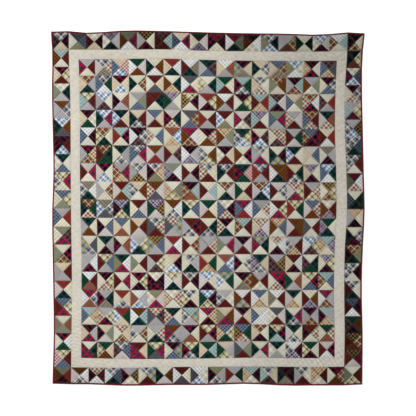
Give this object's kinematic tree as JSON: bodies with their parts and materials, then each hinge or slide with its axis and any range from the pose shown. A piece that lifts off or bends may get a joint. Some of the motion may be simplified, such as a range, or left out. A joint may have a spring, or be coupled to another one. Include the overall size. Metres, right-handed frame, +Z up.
{
  "type": "patchwork quilt",
  "caption": "Flat patchwork quilt of hourglass blocks in mixed plaids, with a plain inner border, a pieced outer border and a narrow bound edge.",
  "frame": {"origin": "middle of the quilt's outline, on the surface that it lies on", "axes": "+X to the quilt's right side as it lies face up, +Y to its top edge, +Z up from the surface"},
  "size_m": [2.1838, 2.472, 0.0072],
  "materials": {
    "centre_patchwork": "matt woven cotton in mixed plaids, checks and creams",
    "pieced_border": "matt woven cotton in mixed plaids, checks and creams",
    "plain_border": "matt plain-woven cream cotton",
    "binding": "matt plain-woven dark red cotton"
  },
  "bodies": {
    "root": {"centre_patchwork": "centre_patchwork", "plain_border_left": "plain_border", "plain_border_right": "plain_border", "plain_border_top": "plain_border", "plain_border_bottom": "plain_border", "pieced_border_left": "pieced_border", "pieced_border_right": "pieced_border", "pieced_border_top": "pieced_border", "pieced_border_bottom": "pieced_border", "binding_left": "binding", "binding_right": "binding", "binding_top": "binding", "binding_bottom": "binding"}
  },
  "joints": []
}
